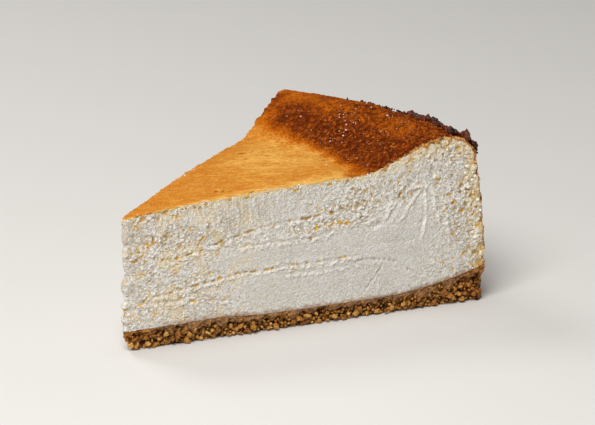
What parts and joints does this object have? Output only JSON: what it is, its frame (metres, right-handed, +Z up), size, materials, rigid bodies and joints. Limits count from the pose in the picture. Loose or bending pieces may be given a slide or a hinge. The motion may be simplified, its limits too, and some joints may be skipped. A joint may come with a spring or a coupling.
{
  "type": "slice of baked cheesecake",
  "caption": "Wedge-shaped slice of a round baked cheesecake, with a dished, browned top, a risen dark rim and a biscuit crumb base.",
  "frame": {"origin": "on the table under the middle of the slice's box", "axes": "+Z up; +X from the tip to the rim along the middle of the wedge; the cut face that the picture shows is on the -Y side"},
  "size_m": [0.1161, 0.0772, 0.0524],
  "materials": {
    "baked_cheese": "soft baked cheese filling, off-white, matt and slightly moist, pitted where it was cut",
    "browned_top": "baked skin, golden in the dish and deep brown on the rim, with a faint oily shine",
    "burnt_crag": "burnt, glassy lumps, almost black with a red-brown tint",
    "biscuit_crumb": "pressed biscuit crumbs, golden tan grains under a darker soaked band"
  },
  "bodies": {
    "root": {"cheese_filling": "baked_cheese", "biscuit_base": "biscuit_crumb"}
  },
  "joints": []
}
